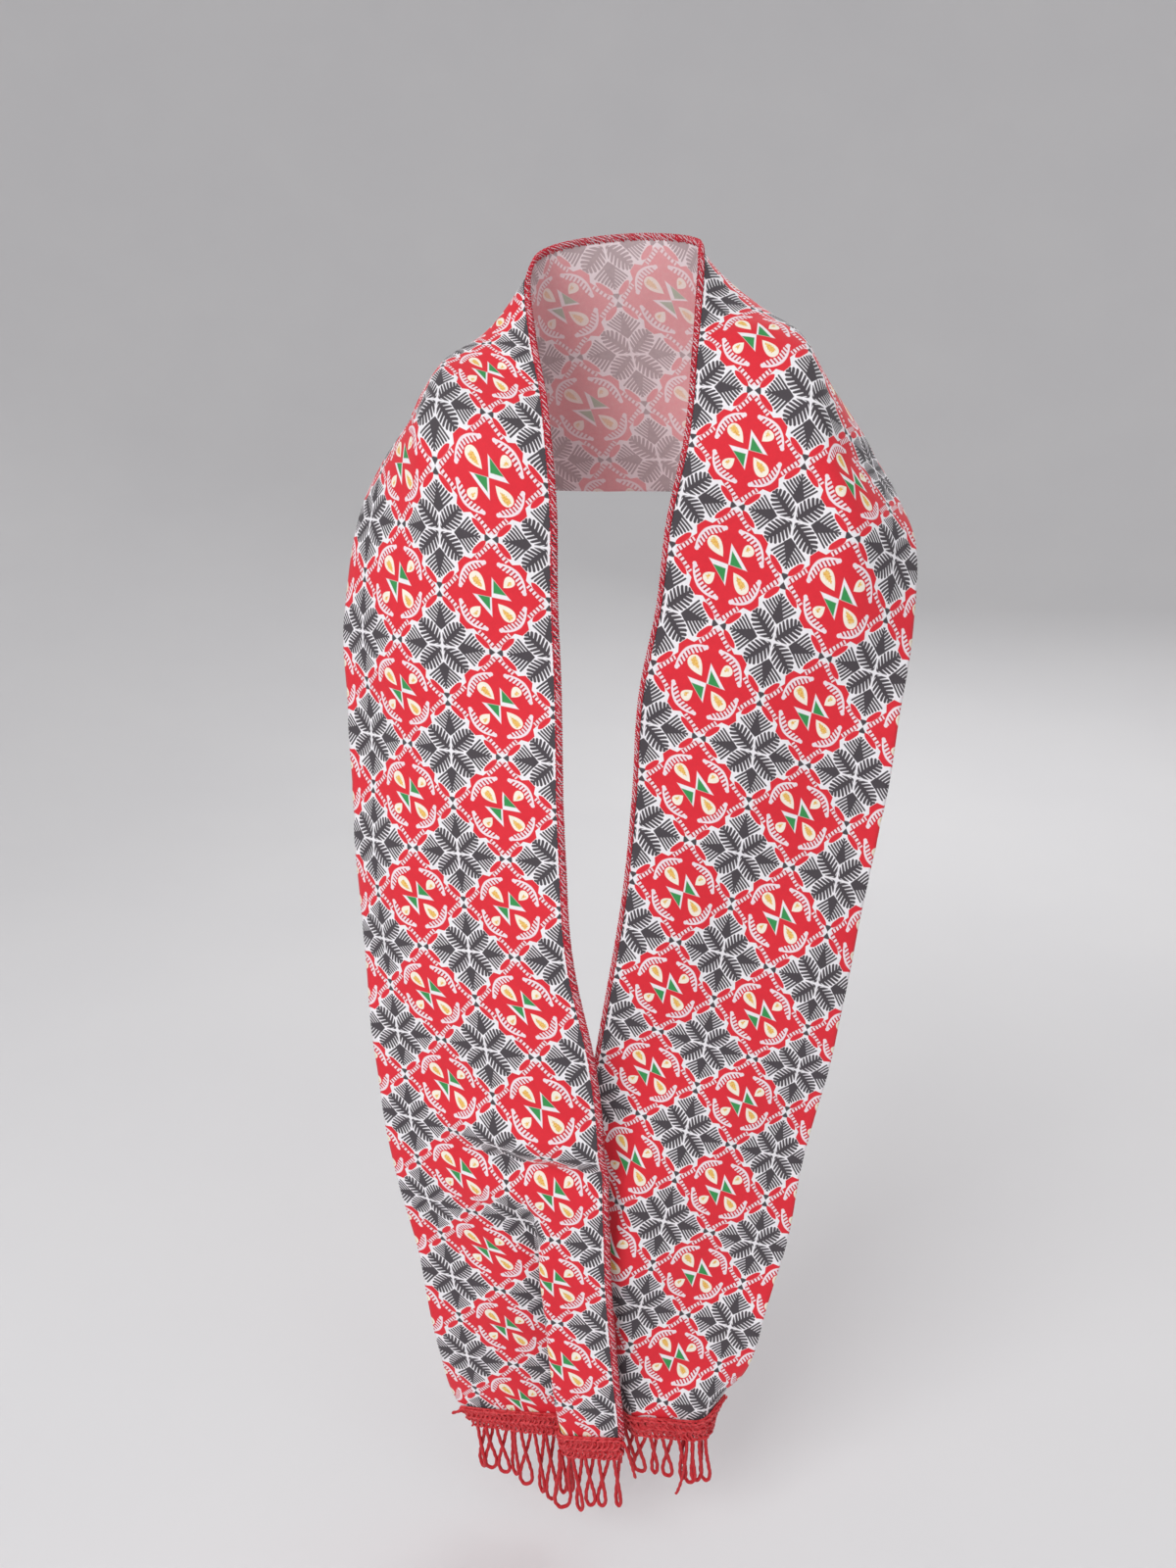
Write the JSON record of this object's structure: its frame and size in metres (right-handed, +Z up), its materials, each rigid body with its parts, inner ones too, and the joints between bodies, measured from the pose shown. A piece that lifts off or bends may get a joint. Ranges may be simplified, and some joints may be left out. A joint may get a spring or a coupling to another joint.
{
  "type": "ceremonial scarf",
  "caption": "Long narrow printed scarf in its worn form: over the nape and both shoulders, its ends hanging down the front, each with a looped fringe trim.",
  "frame": {"origin": "on the neck's vertical axis, level with the highest points of the inner edge at the sides of the neck", "axes": "+Z up; the wearer faces -Y; +X is to the right as seen by someone who faces the wearer"},
  "size_m": [0.32, 0.1572, 0.7624],
  "materials": {
    "printed_cloth": "plain-woven cotton with a small diamond print in red, charcoal, white, gold and green",
    "trim_head": "crocheted shiny red thread",
    "trim_loops": "twisted crimson cord loops"
  },
  "bodies": {
    "root": {"left_end": "printed_cloth", "left_chest": "printed_cloth", "left_shoulder": "printed_cloth", "nape": "printed_cloth", "right_shoulder": "printed_cloth", "right_chest": "printed_cloth", "right_end": "printed_cloth", "left_trim_head": "trim_head", "right_trim_head": "trim_head", "left_trim_loops": "trim_loops", "right_trim_loops": "trim_loops"}
  },
  "joints": []
}
